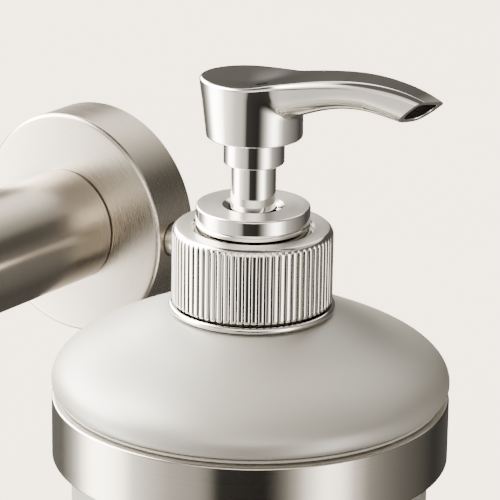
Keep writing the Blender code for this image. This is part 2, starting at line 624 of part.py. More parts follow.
def pump_head():
    """Conical head with a long arched spout, bored for the stem and the lotion channel."""
    facing = (0.0, 0.0, SPOUT_YAW)
    bottom = HEAD_BOTTOM_Z
    chamfer, bevel, front = 0.4, 1.0, 9.6
    foot = HEAD_BOTTOM_R - chamfer
    rings = [head_section(bottom, foot, foot, foot),
             head_section(bottom + chamfer, HEAD_BOTTOM_R, HEAD_BOTTOM_R, HEAD_BOTTOM_R),
             head_section(HEAD_TOP_Z - bevel, HEAD_TOP_BACK_R, front, HEAD_TOP_HALF),
             head_section(HEAD_TOP_Z, HEAD_TOP_BACK_R - bevel, front - bevel, HEAD_TOP_HALF - bevel)]
    head = place(loft("pump_head", rings, "polished_nickel"), ON_BOTTLE, facing)
    first, last = SPOUT[0][0], SPOUT[-1][0]
    stations = [first + (last - first) * i / 14 for i in range(15)]
    spout = place(loft("spout_body", [spout_section(reach) for reach in stations]), ON_BOTTLE, facing)
    join(head, spout)
    chamber_r, chamber_top = 2.3, 68.9
    bore_r = HEAD_SPIGOT_R + GAP
    bore = [(0.0, chamber_top), (chamber_r, chamber_top), (chamber_r, STEM_TOP_Z + 0.5), (bore_r, STEM_TOP_Z + 0.5),
            (bore_r, bottom - 1.0), (0.0, bottom - 1.0)]
    cut(head, place(turned("stem_bore", bore, steps=24, closed=False), ON_BOTTLE))
    path = [(0.0, 68.0), (1.0, 70.0), (4.0, 71.1), (10.0, 72.0), (16.0, 73.3), (20.0, 74.1), (24.0, 74.5),
            (28.0, 74.4), (32.0, 73.8), (36.0, 72.7), (39.0, 71.6), (43.0, 69.8)]
    channel = curve_to_mesh(wire("channel", [(x, 0.0, z) for x, z in path], CHANNEL_R, resolution=3))
    cut(head, place(channel, ON_BOTTLE, facing))
    cut(head, mouth_cutter())
    skin = wire("spout_liner", [(x, 0.0, z) for x, z in path[3:-3]], CHANNEL_R - GAP, "white_plastic", 2, False)
    shell = skin.modifiers.new("Wall", "SOLIDIFY")
    shell.thickness = 0.45 * MM
    shell.offset = -1.0
    place(skin, ON_BOTTLE, facing)


def head_collar():
    """Short polished sleeve under the head, plugged into the head's bore."""
    top, seat, socket = STEM_TOP_Z + 0.2, HEAD_BOTTOM_Z - GAP, HEAD_COLLAR_Z + SLEEVE_SOCKET
    outline = [(HEAD_SPIGOT_R, top), (HEAD_SPIGOT_R, seat), (HEAD_COLLAR_R, seat),
               (HEAD_COLLAR_R, HEAD_COLLAR_Z + 0.3), (HEAD_COLLAR_R - 0.3, HEAD_COLLAR_Z),
               (SLEEVE_R + GAP, HEAD_COLLAR_Z), (SLEEVE_R + GAP, socket), (SLEEVE_BORE_R, socket),
               (SLEEVE_BORE_R, top)]
    place(turned("head_collar", outline, "polished_nickel", 26), ON_BOTTLE)
    ball("outlet_ball", OUTLET_BALL_R, OUTLET_BALL_Z)


# ---------------------------------------------------------------- assembly
wall_bracket()
wall_rosette()
support_post()
ring_arm()
holder_ring()
glass_bottle()
neck_collar()
closure()
pump_collar()
pump_housing()
inlet_valve()
return_spring()
plunger()
pump_head()
head_collar()
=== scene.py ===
"""Looks of the wall mounted soap dispenser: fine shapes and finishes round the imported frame.

Lengths are in millimetres unless a name says otherwise. Positions come from the frame's own boxes.
"""
from math import acos, cos, pi, radians, sin, tan

import bmesh
import bpy
import numpy as np
from mathutils import Matrix, Vector


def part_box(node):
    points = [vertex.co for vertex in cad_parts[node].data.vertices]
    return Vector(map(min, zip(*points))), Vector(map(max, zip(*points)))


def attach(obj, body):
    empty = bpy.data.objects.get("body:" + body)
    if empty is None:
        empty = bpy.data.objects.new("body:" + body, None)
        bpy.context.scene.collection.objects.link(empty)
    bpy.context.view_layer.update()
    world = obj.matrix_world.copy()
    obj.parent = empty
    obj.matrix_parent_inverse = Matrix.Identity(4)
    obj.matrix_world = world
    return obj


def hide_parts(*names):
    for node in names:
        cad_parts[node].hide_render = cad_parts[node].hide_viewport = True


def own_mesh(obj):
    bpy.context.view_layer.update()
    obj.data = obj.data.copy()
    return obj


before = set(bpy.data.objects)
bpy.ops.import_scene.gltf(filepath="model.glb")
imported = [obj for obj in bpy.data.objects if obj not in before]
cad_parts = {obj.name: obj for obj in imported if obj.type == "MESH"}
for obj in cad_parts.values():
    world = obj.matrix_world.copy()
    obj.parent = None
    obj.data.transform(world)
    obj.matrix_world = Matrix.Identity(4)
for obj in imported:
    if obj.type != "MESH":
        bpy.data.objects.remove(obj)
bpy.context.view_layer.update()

MM = 0.001


# ---- places read from the frame
def span(node, axis):
    """Low and high end of a CAD node along an axis, in millimetres."""
    low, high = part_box(node)
    index = "xyz".index(axis)
    return low[index] / MM, high[index] / MM


def middle(node, axis):
    low, high = span(node, axis)
    return (low + high) / 2


def outer_radius(node):
    """Radius of a round CAD node that stands on a vertical axis."""
    left, right = span(node, "x")
    return (right - left) / 2


AXIS_X = middle("holder_ring", "x")
AXIS_Y = middle("holder_ring", "y")
RING_LOW, RING_TOP = span("holder_ring", "z")
RING_R = outer_radius("holder_ring")
HEAD_LOW = span("pump_head", "z")[0]
ON_BOTTLE = Matrix.Translation((AXIS_X * MM, AXIS_Y * MM, 0.0))
OUT_OF_WALL = Matrix.Rotation(radians(90), 4, "X")      # local +Z stands out of the wall


# ---- mesh tools
SHARP = 32           # degrees between faces from which an edge stays crisp
RIB_SHARP = 50       # the same for the ribs and the spring, which are round
LOOKS_UP = 0.98      # upward share of a normal from which a face counts as level
EDGE_STEPS = 5       # segments in a rounded edge
ON_AXIS = 1e-6       # radius under which an outline's point is on the axis


def add_object(name, data):
    obj = bpy.data.objects.new(name, data)
    bpy.context.scene.collection.objects.link(obj)
    return obj


def new_object(name, mesh, matrix, material):
    obj = add_object(name, mesh)
    obj.matrix_world = matrix
    mesh.materials.append(material)
    return obj


def make_mesh(name, work):
    """Turn a bmesh into a mesh and free it."""
    mesh = bpy.data.meshes.new(name)
    work.to_mesh(mesh)
    work.free()
    return mesh


def skin(work, rings, closed=False, capped=False):
    """Faces between rings of vertices, where a ring may be a single one. A closed skin joins its ends."""
    for ring, following in zip(rings, rings[1:] + (rings[:1] if closed else [])):
        count = max(len(ring), len(following))
        for i in range(count):
            j = (i + 1) % count
            corners = (ring[i % len(ring)], following[i % len(following)],
                       following[j % len(following)], ring[j % len(ring)])
            work.faces.new(tuple(dict.fromkeys(corners)))
    if capped:
        work.faces.new(rings[0])
        work.faces.new(rings[-1])


def modified_mesh(obj):
    """The object's mesh with its modifiers applied, as a new mesh."""
    bpy.context.view_layer.update()
    return bpy.data.meshes.new_from_object(obj.evaluated_get(bpy.context.evaluated_depsgraph_get()))


def satin_faces(obj, material):
    """Give the flat faces that look up the turned finish."""
    obj.data.materials.append(material)
    for face in obj.data.polygons:
        if face.normal.z > LOOKS_UP:
            face.material_index = 1


def finish_piece(obj, body, slot, node):
    """Let a piece ride on its body and stand for its CAD node. Its slot is not used."""
    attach(obj, body)
    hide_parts(node)


def fillet(profile, closed):
    """Replace each corner given as (r, z, radius) by an arc that touches both its sides."""
    points = []
    count = len(profile)
    for i, corner in enumerate(profile):
        here = Vector(corner[:2])
        end = not closed and i in (0, count - 1)
        if len(corner) == 2 or end:
            points.append(here)
            continue
        back = Vector(profile[i - 1][:2]) - here
        ahead = Vector(profile[(i + 1) % count][:2]) - here
        half_angle = back.angle(ahead) / 2
        reach = corner[2] / tan(half_angle)
        reach = min(reach, 0.49 * back.length, 0.49 * ahead.length)
        radius = reach * tan(half_angle)
        centre = here + (back.normalized() + ahead.normalized()).normalized() * (radius / sin(half_angle))
        first = here + back.normalized() * reach - centre
        last = here + ahead.normalized() * reach - centre
        sweep = first.angle_signed(last)
        for k in range(EDGE_STEPS + 1):
            turn = Matrix.Rotation(-sweep * k / EDGE_STEPS, 2)
            points.append(centre + turn @ first)
    return points


def lathe(name, profile, matrix, material, piece, closed=True, segments=144):
    """Turn an outline of (r, z) or (r, z, corner radius) points about local Z; its outer side runs down.

    piece is its body, slot and CAD node.
    """
    points = fillet(profile, closed)
    work = bmesh.new()
    rows = []
    for radius, height in points:
        turns = [2 * pi * i / segments for i in range(segments if radius > ON_AXIS else 1)]
        rows.append([work.verts.new((radius * cos(t) * MM, radius * sin(t) * MM, height * MM)) for t in turns])
    skin(work, rows, closed)
    mesh = make_mesh(name, work)
    smooth(mesh)
    obj = new_object(name, mesh, matrix, material)
    weigh_normals(obj)
    finish_piece(obj, *piece)
    return obj


def smooth(mesh, sharp=SHARP):
    mesh.shade_smooth()
    mesh.set_sharp_from_angle(angle=radians(sharp))


def weigh_normals(obj):
    """Keep flat faces flat beside their rounded edges."""
    weighted = obj.modifiers.new("Flat faces", "WEIGHTED_NORMAL")
    weighted.keep_sharp = True
    weighted.weight = 60


def drill(obj, at, along, radius, length=10.0):
    """Cut a short round hole through a wall at a place in the frame."""
    work = bmesh.new()
    bmesh.ops.create_cone(work, cap_ends=True, segments=48, radius1=radius * MM, radius2=radius * MM,
                          depth=length * MM)
    bit = add_object("drill", make_mesh("drill", work))
    turn = Vector(along).to_track_quat("Z", "Y").to_matrix().to_4x4()
    bit.matrix_world = Matrix.Translation(Vector(at) * MM) @ turn
    obj.modifiers.clear()
    hole = obj.modifiers.new("Hole", "BOOLEAN")
    hole.operation = "DIFFERENCE"
    hole.object = bit
    obj.data = modified_mesh(obj)
    obj.modifiers.clear()
    bpy.data.objects.remove(bit, do_unlink=True)
    smooth(obj.data)
    weigh_normals(obj)


def tube(outer, inner, low, high, edge, inner_edge):
    """Outline of a plain tube."""
    return [(outer, high, edge), (outer, low, edge), (inner, low, inner_edge), (inner, high, inner_edge)]


def bezier(p0, p1, p2, p3, count):
    """Points of a cubic curve in the (r, z) plane, without its first."""
    points = []
    for i in range(1, count + 1):
        t = i / count
        weights = ((1 - t) ** 3, 3 * t * (1 - t) ** 2, 3 * t * t * (1 - t), t ** 3)
        points.append(tuple(sum(w * p[k] for w, p in zip(weights, (p0, p1, p2, p3))) for k in (0, 1)))
    return points


# ---- materials
NOISE_LOW, NOISE_HIGH = 0.3, 0.7


class Nodes:
    """Small helper that adds and links the shader nodes of a new material or world."""

    def __init__(self, name, library=bpy.data.materials, shader="Principled BSDF"):
        self.owner = library.new(name)
        self.owner.use_nodes = True
        self.tree = self.owner.node_tree
        self.shader = self.tree.nodes[shader]

    def link(self, source, target):
        self.tree.links.new(source, target)

    def add(self, kind, *sources, **settings):
        """New node of a kind with its own settings; the sources feed its first inputs."""
        node = self.tree.nodes.new("ShaderNode" + kind)
        for key, value in settings.items():
            setattr(node, key, value)
        for source, target in zip(sources, node.inputs):
            self.link(source, target)
        return node

    def set(self, **values):
        for key, value in values.items():
            self.shader.inputs[key.replace("_", " ")].default_value = value

    def stretched(self, vector, scale):
        mapping = self.add("Mapping", vector)
        mapping.inputs["Scale"].default_value = scale
        return mapping.outputs["Vector"]

    def position(self, scale):
        """Object coordinates stretched by a scale per axis."""
        return self.stretched(self.add("TexCoord").outputs["Object"], scale)

    def math(self, operation, first, second):
        return self.add("Math", first, second, operation=operation).outputs[0]

    def axis_distance(self):
        """Object coordinates split by axis, and their distance from the object's Z axis."""
        split = self.add("SeparateXYZ", self.add("TexCoord").outputs["Object"])
        flat = self.add("CombineXYZ", split.outputs["X"], split.outputs["Y"])
        length = self.add("VectorMath", flat.outputs[0], operation="LENGTH")
        return split, length.outputs["Value"]

    def turned_position(self, along, across):
        """Coordinates for lines left by turning: slow round the axis, fast along the profile."""
        split, distance = self.axis_distance()
        total = self.math("ADD", distance, split.outputs["Z"])
        joined = self.add("CombineXYZ", split.outputs["X"], split.outputs["Y"], total)
        return self.stretched(joined.outputs[0], (along, along, across))

    def noise(self, vector, detail=2.0, roughness=0.5):
        """Noise value; most of it lies between NOISE_LOW and NOISE_HIGH."""
        noise = self.add("TexNoise", vector)
        noise.inputs["Scale"].default_value = 1.0
        noise.inputs["Detail"].default_value = detail
        noise.inputs["Roughness"].default_value = roughness
        return noise.outputs["Fac"]

    def remap(self, value, low, high, start=NOISE_LOW, end=NOISE_HIGH, **settings):
        """Value carried from start..end to low..high."""
        remap = self.add("MapRange", value, **settings)
        for name, limit in (("From Min", start), ("From Max", end), ("To Min", low), ("To Max", high)):
            remap.inputs[name].default_value = limit
        return remap.outputs["Result"]

    def ramp(self, value, stops):
        """Colour ramp through stops of a place between 0 and 1 and a colour."""
        ramp = self.add("ValToRGB", value)
        elements = ramp.color_ramp.elements
        for place, _ in stops[1:-1]:
            elements.new(place)
        for element, (place, colour) in zip(elements, stops):
            element.position = place
            element.color = (*colour, 1.0)
        return ramp.outputs["Color"]

    def blend_colour(self, value, dark, light):
        colour = self.ramp(value, ((NOISE_LOW, dark), (NOISE_HIGH, light)))
        self.link(colour, self.shader.inputs["Base Color"])

    def roughness(self, value, low, high):
        self.link(self.remap(value, low, high), self.shader.inputs["Roughness"])

    def bump(self, value, depth):
        """Raise the surface by the value times a depth in metres."""
        bump = self.add("Bump")
        bump.inputs["Distance"].default_value = depth
        self.link(value, bump.inputs["Height"])
        self.link(bump.outputs["Normal"], self.shader.inputs["Normal"])


SMEARS = (90.0, 90.0, 60.0)      # grain of the wiping marks on the polished pieces, per metre
TOUCHING_RIDGE = 0.03            # from the ridge line down to here a rib gets no painted shade
GROOVE_BOTTOM = 0.30             # and from here on its groove is fully painted dark as shade
RIM_BAND = 1.5, 1.2              # below the closure's top, where the ribs' painted groove shade gives way to the rim's plain plating


def polished_nickel():
    """Mirror plating with faint smears."""
    nodes = Nodes("polished_nickel")
    nodes.set(Metallic=1.0)
    smears = nodes.noise(nodes.position(SMEARS), 3.0)
    nodes.roughness(smears, 0.025, 0.05)
    nodes.blend_colour(smears, (0.80, 0.775, 0.74), (0.83, 0.81, 0.78))
    return nodes.owner


def painted_groove_shade_nickel(outer, top):
    """Polished plating with shade painted dark down in the closure's grooves."""
    nodes = Nodes("painted_groove_shade_nickel")
    nodes.set(Metallic=1.0)
    smears = nodes.noise(nodes.position(SMEARS), 3.0)
    nodes.roughness(smears, 0.04, 0.07)
    split, radius = nodes.axis_distance()
    ridge = nodes.remap(radius, 0.0, 1.0, (outer - GROOVE_BOTTOM) * MM, (outer - TOUCHING_RIDGE) * MM)
    above_ribs = nodes.remap(split.outputs["Z"], 0.0, 1.0, *((top - below) * MM for below in RIM_BAND))
    unshaded_share = nodes.math("MAXIMUM", ridge, above_ribs)
    # the grooves get near-black painted shade; ridges and rim keep the plain plating colour
    nodes.blend_colour(unshaded_share, (0.12, 0.115, 0.105), (0.74, 0.715, 0.675))
    return nodes.owner


def brushed_nickel(name, base, roughness, across, depth, spread, stretch):
    """Satin metal brushed round its axis: lines across per metre, their depth in metres and spread of tone."""
    nodes = Nodes(name)
    nodes.set(Metallic=1.0, Anisotropic=stretch, Anisotropic_Rotation=0.25)
    tangent = nodes.add("Tangent", direction_type="RADIAL", axis="Z")
    nodes.link(tangent.outputs["Tangent"], nodes.shader.inputs["Tangent"])
    lines = nodes.noise(nodes.turned_position(25.0, across), 3.0, 0.65)
    nodes.roughness(lines, *roughness)
    light = tuple(value * (1 + spread) for value in base)
    dark = tuple(value * (1 - spread) for value in base)
    nodes.blend_colour(lines, dark, light)
    nodes.bump(lines, depth)
    return nodes.owner


def machined_steel():
    """Turned steel of the hidden screws, plate, balls and spring."""
    nodes = Nodes("machined_steel")
    nodes.set(Metallic=1.0)
    marks = nodes.noise(nodes.turned_position(60.0, 3000.0))
    nodes.roughness(marks, 0.26, 0.40)
    nodes.blend_colour(marks, (0.48, 0.48, 0.49), (0.60, 0.60, 0.61))
    nodes.bump(marks, 0.00001)
    return nodes.owner


def frosted_glass():
    """Satin etched glass: a soft surface sheen over a milky body."""
    nodes = Nodes("frosted_glass")
    nodes.set(Transmission_Weight=0.2, IOR=1.9, Specular_IOR_Level=0.8, Subsurface_Weight=0.15,
              Subsurface_Scale=0.003)
    grain = nodes.noise(nodes.position((9000.0, 9000.0, 9000.0)))
    clouds = nodes.noise(nodes.position((35.0, 35.0, 35.0)))
    nodes.roughness(grain, 0.32, 0.42)
    nodes.blend_colour(clouds, (0.28, 0.27, 0.243), (0.32, 0.309, 0.28))
    nodes.bump(grain, 0.000008)
    return nodes.owner


def mottled(name, dark, light, roughness, grain=1500.0, **settings):
    """Even surface with a fine mottle, for plastic, rubber and the satin rod."""
    nodes = Nodes(name)
    nodes.set(**settings)
    mottle = nodes.noise(nodes.position((grain, grain, grain)))
    nodes.roughness(mottle, *roughness)
    nodes.blend_colour(mottle, dark, light)
    nodes.bump(mottle, 0.00001)
    return nodes.owner


POLISHED = polished_nickel()
TURNED = brushed_nickel("turned_nickel", (0.80, 0.775, 0.73), (0.28, 0.36),
                        across=6000.0, depth=0.000003, spread=0.03, stretch=0.4)
RING_BRUSHED = brushed_nickel("ring_brushed_nickel", (0.42, 0.395, 0.36), (0.12, 0.16),
                              across=5000.0, depth=0.000008, spread=0.04, stretch=0.9)
POST_BRUSHED = brushed_nickel("post_brushed_nickel", (0.46, 0.42, 0.37), (0.20, 0.24),
                              across=5000.0, depth=0.000002, spread=0.02, stretch=0.5)
ROSETTE_BRUSHED = brushed_nickel("rosette_brushed_nickel", (0.46, 0.42, 0.37), (0.24, 0.30),
                                 across=5000.0, depth=0.000002, spread=0.02, stretch=0.3)
ARM_BRUSHED = mottled("arm_brushed_nickel", (0.44, 0.41, 0.37), (0.52, 0.49, 0.45), (0.30, 0.42),
                      grain=4000.0, Metallic=1.0)
STEEL = machined_steel()
GLASS = frosted_glass()
WHITE = mottled("white_plastic", (0.78, 0.78, 0.76), (0.84, 0.84, 0.83), (0.32, 0.42))
CLEAR = mottled("clear_plastic", (0.80, 0.82, 0.82), (0.86, 0.87, 0.87), (0.12, 0.2), Transmission_Weight=0.7)
RUBBER = mottled("grey_rubber", (0.10, 0.10, 0.10), (0.16, 0.16, 0.16), (0.6, 0.75))
LINER = mottled("liner_plastic", (0.30, 0.285, 0.26), (0.36, 0.345, 0.32), (0.45, 0.6))
# Near black without reflections: painted shade of the spout's bore, laid on the mouth's shallow hollow.
PAINTED_BORE_SHADE = mottled("spout_bore_painted_shade", (0.010, 0.009, 0.008), (0.02, 0.018, 0.016), (0.8, 0.95), Specular_IOR_Level=0.0)


# ---- wall side
ROSETTE_CROWN = 0.9      # the rosette's face falls away by this much towards its rim
CROWN_START_R = 15.0     # from this radius on
CROWN_STEPS = 6
ROSETTE_WALL = 1.6
STUD_BORE_R = 5.3        # clears the bracket's stud in the rosette and the post
STUD_BORE_END = 41.0
SOCKET_R, SOCKET_DEPTH = 9.0, 12.0       # for the end cap's plug
PLUG_R = 8.7
END_CAP_THICKNESS = 3.0
ARM_Y = -8.0             # the arm's axis where it leaves the rosette
ARM_HOLE_R = 4.3
GRUB_Y, GRUB_HOLE_R = -2.0, 1.55
SOFT_EDGE = 0.25         # edge radius of the turned pieces on the wall


def out_of_wall(node):
    """Near and far end of a CAD node, as distances from the wall."""
    low, high = span(node, "y")
    return -high, -low


def wall_side():
    back, face = out_of_wall("wall_rosette")
    radius = span("wall_rosette", "x")[1]
    shares = [k / CROWN_STEPS for k in range(CROWN_STEPS)]
    crown = [(CROWN_START_R + (radius - CROWN_START_R) * share, face - ROSETTE_CROWN * share ** 1.5)
             for share in shares]
    profile = [(radius, face - ROSETTE_CROWN, 1.1), (radius, back, SOFT_EDGE), (radius - ROSETTE_WALL, back),
               (radius - ROSETTE_WALL, face - 1.2 - ROSETTE_WALL, 0.6), (STUD_BORE_R, face - ROSETTE_WALL),
               (STUD_BORE_R, face)] + crown
    rosette = lathe("rosette", profile, OUT_OF_WALL, ROSETTE_BRUSHED, ("mount", "brushed_nickel", "wall_rosette"))
    drill(rosette, (radius, ARM_Y, 0.0), (1.0, 0.0, 0.0), ARM_HOLE_R)
    drill(rosette, (0.0, GRUB_Y, -radius), (0.0, 0.0, 1.0), GRUB_HOLE_R)
    back, face = out_of_wall("support_post")
    radius = span("support_post", "x")[1]
    profile = [(0.0, face - SOCKET_DEPTH), (SOCKET_R, face - SOCKET_DEPTH), (SOCKET_R, face),
               (radius, face, SOFT_EDGE), (radius, back, SOFT_EDGE), (STUD_BORE_R, back),
               (STUD_BORE_R, STUD_BORE_END), (0.0, STUD_BORE_END)]
    lathe("post", profile, OUT_OF_WALL, POST_BRUSHED, ("mount", "brushed_nickel", "support_post"), closed=False)
    plug_end, face = out_of_wall("post_end_cap")
    seat = face - END_CAP_THICKNESS
    profile = [(0.0, face), (radius, face, 1.0), (radius, seat, SOFT_EDGE), (PLUG_R, seat),
               (PLUG_R, plug_end, 0.5), (0.0, plug_end)]
    lathe("post_cap", profile, OUT_OF_WALL, POST_BRUSHED, ("mount", "brushed_nickel", "post_end_cap"), closed=False)


RING_BORE_R = 38.4
LINER_R, LINER_BORE_R = 38.1, 37.55
LINER_LIP = 0.6          # thickness of the lip that lies on the ring


def ring_and_liner():
    profile = [(RING_R, RING_TOP, 0.5), (RING_R, RING_LOW, 0.35), (RING_BORE_R, RING_LOW, 0.3),
               (RING_BORE_R, RING_TOP, 0.3)]
    ring = lathe("ring_band", profile, ON_BOTTLE, RING_BRUSHED, ("mount", "brushed_nickel", "holder_ring"),
                 segments=256)
    satin_faces(ring, TURNED)
    low, top = span("ring_liner", "z")
    under_lip = top - LINER_LIP
    profile = [(outer_radius("ring_liner"), top, 0.25), (outer_radius("ring_liner"), under_lip, 0.2),
               (LINER_R, under_lip, 0.1), (LINER_R, low, 0.2), (LINER_BORE_R, low, 0.2), (LINER_BORE_R, top, 0.2)]
    lathe("liner", profile, ON_BOTTLE, LINER, ("mount", "liner_plastic", "ring_liner"), segments=192)


ARM_R = 4.0
ARM_START_X = 18.5       # its end in the bracket's lug
ARM_BEND_R = 20.0
ARM_BEND_STEPS = 24
ARM_ANGLE = radians(-54.1)          # heading of the second leg, towards the bottle's axis
ARM_TO_RING = 0.25       # gap between the rod's end and the ring


def ring_arm():
    """Round rod: level along the wall, one bend, then straight to the ring."""
    level = middle("ring_arm", "z")
    start = Vector((ARM_START_X, ARM_Y, level))
    heading = Vector((cos(ARM_ANGLE), sin(ARM_ANGLE), 0.0))
    axis = Vector((AXIS_X, AXIS_Y, level))
    corner = axis + heading * ((start.y - AXIS_Y) / heading.y)
    tangent = ARM_BEND_R * tan(-ARM_ANGLE / 2)
    centre = corner + Vector((-tangent, -ARM_BEND_R, 0.0))
    route = [start]
    for i in range(ARM_BEND_STEPS + 1):
        turn = radians(90) + ARM_ANGLE * i / ARM_BEND_STEPS
        route.append(centre + Vector((cos(turn), sin(turn), 0.0)) * ARM_BEND_R)
    route.append(axis - heading * (RING_R + ARM_TO_RING))
    curve = bpy.data.curves.new("arm_rod", "CURVE")
    curve.dimensions = "3D"
    curve.bevel_depth = ARM_R * MM
    curve.bevel_resolution = 10
    curve.use_fill_caps = True
    spline = curve.splines.new("POLY")
    spline.points.add(len(route) - 1)
    for point, position in zip(spline.points, route):
        point.co = (*(position * MM), 1.0)
    curve.materials.append(ARM_BRUSHED)
    finish_piece(add_object("arm_rod", curve), "mount", "brushed_nickel", "ring_arm")


# ---- bottle
GLASS_BODY_R, GLASS_INNER_R = 37.08, 34.08
GLASS_FLOOR = 4.0        # thickness at the wall's foot
NECK_R, NECK_BORE_R, NECK_ROOT_Z = 13.4, 11.2, 24.9
FLANGE_BORE_R = 13.7     # of the thin collar on the neck
STEP_Z = 7.8             # where the body steps back under the shoulder


def bottle():
    """Glass with a domed shoulder, a neck and a straight body, drawn as one outline from inside to outside."""
    base, neck_top = span("glass_bottle", "z")
    floor = base + GLASS_FLOOR
    widest = (RING_R, 10.0)
    crest = (28.4, 20.2)             # where the shoulder turns from hollow to domed
    under = (27.3, 17.4)             # the same inside
    inner_step = (36.6, 11.8)
    foot = (16.6, NECK_ROOT_Z)       # where the shoulder starts, at the neck
    inside = [(0.0, floor + 1.0), (GLASS_INNER_R - 8.0, floor + 0.6), (GLASS_INNER_R, floor, 5.0),
              (GLASS_INNER_R, 8.5, 6.0), inner_step]
    inside += bezier(inner_step, (36.2, 13.8), (32.8, 15.2), under, 12)
    inside += bezier(under, (21.5, 19.8), (13.5, 21.0), (NECK_BORE_R, 24.0), 12)
    neck = [(NECK_BORE_R, neck_top, 0.5), (NECK_R, neck_top, 0.5), (NECK_R, NECK_ROOT_Z, 0.3), foot]
    shoulder = bezier(foot, (20.4, 24.2), (25.0, 21.7), crest, 16)
    shoulder += bezier(crest, (35.0, 17.2), (RING_R, 14.4), widest, 20)
    shoulder += bezier(widest, (RING_R, 8.6), (40.5, 7.85), (39.3, STEP_Z), 8)
    body = [(GLASS_BODY_R, STEP_Z, 0.3), (GLASS_BODY_R, base, 3.0), (GLASS_BODY_R - 8.0, base, 1.0),
            (GLASS_BODY_R - 10.0, base + 0.8, 1.0), (0.0, base + 1.2)]
    lathe("bottle_glass", inside + neck + shoulder + body, ON_BOTTLE, GLASS,
          ("bottle", "frosted_glass", "glass_bottle"), closed=False, segments=192)
    low, high = span("neck_collar", "z")
    outline = tube(outer_radius("neck_collar"), FLANGE_BORE_R, low, high, 0.6, 0.1)
    lathe("neck_flange", outline, ON_BOTTLE, POLISHED, ("bottle", "polished_nickel", "neck_collar"), segments=192)


# ---- closure
RIBS, ACROSS_RIB = 72, 10
RIB_DEPTH = 0.42
RIB_SWELL = 0.06         # how far a ridge falls off before its groove starts
RIB_TOP = 1.35           # the ribs start this far below the closure's top
RIB_FOOT = 0.9
CLOSURE_HOLE_R = 12.7
CLOSURE_WALL, CLOSURE_ROOF = 1.3, 1.2


def rib_depth(column):
    """Depth below the ridge line at a column: wide round ridges, narrow grooves."""
    phase = (column % ACROSS_RIB) / ACROSS_RIB * 2 - 1
    return RIB_DEPTH * abs(phase) ** 5 + RIB_SWELL * phase * phase


def closure():
    """Shell with rounded ribs between a chamfered rim and a plain foot."""
    low, top = span("closure_shell", "z")
    outer = outer_radius("closure_shell")
    bore, roof = outer - CLOSURE_WALL, top - CLOSURE_ROOF
    columns = RIBS * ACROSS_RIB
    # rows of (radius, height, share of the rib's depth)
    rows = [(CLOSURE_HOLE_R, top, 0.0), (CLOSURE_HOLE_R + 0.25, top, 0.0), (outer - 1.0, top, 0.0),
            (outer - 0.85, top - 0.03, 0.0), (outer - 0.42, top - 0.40, 0.0), (outer - 0.34, top - 0.52, 0.0),
            (outer - 0.12, top - 0.9, 0.35), (outer, top - RIB_TOP, 1.0)]
    rows += [(outer, top - RIB_TOP + (low + RIB_FOOT - top + RIB_TOP) * k / 12, 1.0) for k in range(1, 13)]
    rows += [(outer - 0.03, low + 0.55, 0.9), (outer - 0.15, low + 0.2, 0.6), (outer - 0.45, low, 0.0),
             (bore, low, 0.0), (bore, roof, 0.0), (CLOSURE_HOLE_R, roof, 0.0)]
    work = bmesh.new()
    grid = []
    for radius, height, share in rows:
        row = []
        for i in range(columns):
            angle = 2 * pi * i / columns
            r = (radius - rib_depth(i) * share) * MM
            row.append(work.verts.new((r * cos(angle), r * sin(angle), height * MM)))
        grid.append(row)
    skin(work, grid, closed=True)
    mesh = make_mesh("ribbed_shell", work)
    smooth(mesh, RIB_SHARP)
    # the shell's material paints shade into the grooves between the ribs
    shell = new_object("ribbed_shell", mesh, ON_BOTTLE, painted_groove_shade_nickel(outer, top))
    weigh_normals(shell)
    satin_faces(shell, TURNED)
    finish_piece(shell, "cap", "polished_nickel", "closure_shell")


# ---- return spring
SPRING_COILS = 5
STEPS_PER_COIL = 40
SPRING_WIRE_R = 0.45
ROUND_WIRE = 12          # sides of the wire's section


def return_spring():
    """Steel coil in the pump's chamber."""
    low, high = span("return_spring", "z")
    radius = outer_radius("return_spring") - SPRING_WIRE_R
    count = SPRING_COILS * STEPS_PER_COIL
    up = Vector((0.0, 0.0, 1.0))
    round_wire = [2 * pi * k / ROUND_WIRE for k in range(ROUND_WIRE)]
    work = bmesh.new()
    rings = []
    for i in range(count + 1):
        angle = 2 * pi * i / STEPS_PER_COIL
        out = Vector((cos(angle), sin(angle), 0.0))
        height = low + SPRING_WIRE_R + (high - low - 2 * SPRING_WIRE_R) * i / count
        centre = out * radius + up * height
        rings.append([work.verts.new((centre + (out * cos(t) + up * sin(t)) * SPRING_WIRE_R) * MM)
                      for t in round_wire])
    skin(work, rings, capped=True)
    bmesh.ops.recalc_face_normals(work, faces=work.faces)
    mesh = make_mesh("spring_coil", work)
    smooth(mesh, RIB_SHARP)
    coil = new_object("spring_coil", mesh, ON_BOTTLE, STEEL)
    finish_piece(coil, "pump", "steel", "return_spring")
    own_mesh(coil)


# ---- pump
STEM_HOLE_R = 4.87       # the disc's hole for the stem's sleeve
COUNTERSINK_R, COUNTERSINK_DEPTH = 6.3, 0.55
DISC_FLOOR = 5.1         # depth of the disc's hollow underside
DISC_HOLLOW_R = 8.0
GROOVE_ABOVE_CLOSURE = 1.2               # thin line turned round the disc
GROOVE_HALF, GROOVE_DEPTH = 0.25, 0.3
STEM_BORE_R = 3.75
SPIGOT_R = 5.4           # the collar's plug in the head
SLEEVE_SOCKET_R, SLEEVE_SOCKET_DEPTH = 4.89, 2.05
HEAD_GAP = 0.3           # between the head and its collar


